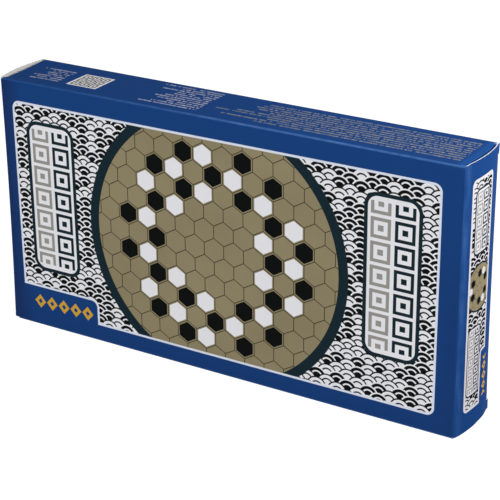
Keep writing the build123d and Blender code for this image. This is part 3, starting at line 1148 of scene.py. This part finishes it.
def leaflet_paper():
    """Uncoated paper with blocks of dashes."""
    finish = Finish("leaflet_paper", colour(226, 224, 216), 0.9, specular=0.2)
    low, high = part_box("rules_leaflet")
    across, _, up = finish.solid_place()
    finish.lay(finish.noise(500.0, 4.0) * 0.2, colour(198, 194, 182))
    middle = (low.z + high.z) / 2 / MM
    for column in (-1, 1):
        low_corner = (33.0 * column - 27.0, middle - 60.0)
        high_corner = (33.0 * column + 27.0, middle + 60.0)
        lay_rows(finish, across, up, low_corner, high_corner, 12.0, 3.0, colour(70, 70, 74), 60.0 + column)
    finish.relief(finish.noise(1400.0, 3.0), 0.02 * MM)
    return finish.material


tray_finish = moulded_plastic("tray_plastic", colour(26, 34, 32), colour(40, 48, 46), 0.5)
film_finish = playing_film()
steel_finish = drawn_metal("tin_steel", colour(190, 190, 188), 0.38, (0.06, 1.0, 1.0))
solid_finishes = {
    "front_tray": tray_finish,
    "back_tray": tray_finish,
    "front_playing_sheet": film_finish,
    "back_playing_sheet": film_finish,
    "front_steel_sheet": steel_finish,
    "back_steel_sheet": steel_finish,
    "hinge_pins": drawn_metal("hinge_steel", colour(176, 176, 174), 0.3, (0.05, 1.0, 1.0)),
    "black_stones": polished_stone("black_stone", colour(18, 18, 19), colour(34, 34, 36)),
    "white_stones": polished_stone("white_stone", colour(228, 226, 218), colour(208, 204, 192)),
    "rules_leaflet": leaflet_paper(),
}
magnet_finish = drawn_metal("magnet_nickel", colour(196, 192, 182), 0.25, (1.0, 0.2, 1.0))
solid_finishes["front_catch_magnets"] = magnet_finish
solid_finishes["back_catch_magnets"] = magnet_finish
for node, finish in solid_finishes.items():
    mesh = frame["nodes"][node].data
    mesh.materials.clear()
    mesh.materials.append(finish)


# Floor, light and camera
FLOOR_HALF = 6.0
FLOOR_GREY = (0.28, 0.28, 0.28, 1.0)
FLOOR_GLOW = 0.9
SKY_LIGHT = 0.27


def floor_material():
    """White floor that shows as the background and keeps the carton's shadow."""
    material = bpy.data.materials.new("floor")
    material.use_nodes = True
    tree = material.node_tree
    tree.nodes.remove(tree.nodes["Principled BSDF"])
    matte = tree.nodes.new("ShaderNodeBsdfDiffuse")
    matte.inputs["Color"].default_value = FLOOR_GREY
    glow = tree.nodes.new("ShaderNodeEmission")
    rays = tree.nodes.new("ShaderNodeLightPath")
    seen = number(tree, "MAXIMUM", Ink(tree, rays.outputs["Is Camera Ray"]),
                  Ink(tree, rays.outputs["Is Glossy Ray"]))
    seen = larger(seen, Ink(tree, rays.outputs["Is Transmission Ray"]))
    tree.links.new((seen * FLOOR_GLOW).socket, glow.inputs["Strength"])
    both = tree.nodes.new("ShaderNodeAddShader")
    tree.links.new(matte.outputs[0], both.inputs[0])
    tree.links.new(glow.outputs[0], both.inputs[1])
    tree.links.new(both.outputs[0], tree.nodes["Material Output"].inputs["Surface"])
    return material


floor_mesh = bpy.data.meshes.new("floor")
floor_corners = [(-FLOOR_HALF, -FLOOR_HALF, 0), (FLOOR_HALF, -FLOOR_HALF, 0)]
floor_corners += [(FLOOR_HALF, FLOOR_HALF, 0), (-FLOOR_HALF, FLOOR_HALF, 0)]
floor_mesh.from_pydata(floor_corners, [], [(0, 1, 2, 3)])
floor_mesh.materials.append(floor_material())
floor = bpy.data.objects.new("floor", floor_mesh)
bpy.context.scene.collection.objects.link(floor)

world = bpy.data.worlds.new("studio")
world.use_nodes = True
bpy.context.scene.world = world
sky = world.node_tree.nodes["Background"]
sky_rays = world.node_tree.nodes.new("ShaderNodeLightPath")
sky_seen = number(world.node_tree, "MAXIMUM", Ink(world.node_tree, sky_rays.outputs["Is Camera Ray"]),
                  Ink(world.node_tree, sky_rays.outputs["Is Glossy Ray"]))
sky_seen = larger(sky_seen, Ink(world.node_tree, sky_rays.outputs["Is Transmission Ray"]))
world.node_tree.links.new((sky_seen * (1 - SKY_LIGHT) + SKY_LIGHT).socket, sky.inputs["Strength"])
sky.inputs["Color"].default_value = (1.0, 1.0, 1.0, 1.0)


def soft_lamp(name, place, size, power):
    """Square area lamp that looks at the carton's middle."""
    lamp = bpy.data.lights.new(name, "AREA")
    lamp.size = size
    lamp.energy = power
    holder = bpy.data.objects.new(name, lamp)
    aim = Vector((0, 0, MIDDLE)) - Vector(place)
    holder.matrix_world = Matrix.Translation(place) @ aim.to_track_quat("-Z", "Y").to_matrix().to_4x4()
    holder.visible_camera = False
    bpy.context.scene.collection.objects.link(holder)


soft_lamp("key", place=(0.48, 0.0, 0.43), size=0.3, power=2.8)
soft_lamp("fill", place=(-0.3, -1.8, 0.35), size=1.0, power=23.5)
soft_lamp("back", place=(0.9, 1.6, 0.5), size=1.0, power=11.0)
soft_lamp("left", place=(-1.9, -0.3, 0.5), size=1.0, power=8.0)

# The photograph's view: angles in degrees, and the focal length for a 36 mm sensor
CAMERA_PLACE = Vector((0.46046, -0.74099, 0.45598))
CAMERA_AZIMUTH = math.radians(31.373)
CAMERA_ELEVATION = math.radians(23.787)
CAMERA_ROLL = math.radians(-0.58)
CAMERA_LENS = 118.91
SENSOR_WIDTH = 36.0
camera_data = bpy.data.cameras.new("camera")
camera_data.sensor_width = SENSOR_WIDTH
camera_data.lens = CAMERA_LENS
camera = bpy.data.objects.new("camera", camera_data)
backward = Vector((
    math.sin(CAMERA_AZIMUTH) * math.cos(CAMERA_ELEVATION),
    -math.cos(CAMERA_AZIMUTH) * math.cos(CAMERA_ELEVATION),
    math.sin(CAMERA_ELEVATION),
))
turn = (-backward).to_track_quat("-Z", "Y").to_matrix().to_4x4()
camera.matrix_world = Matrix.Translation(CAMERA_PLACE) @ turn @ Matrix.Rotation(CAMERA_ROLL, 4, "Z")
bpy.context.scene.collection.objects.link(camera)
bpy.context.scene.camera = camera
bpy.context.scene.view_settings.view_transform = "Standard"
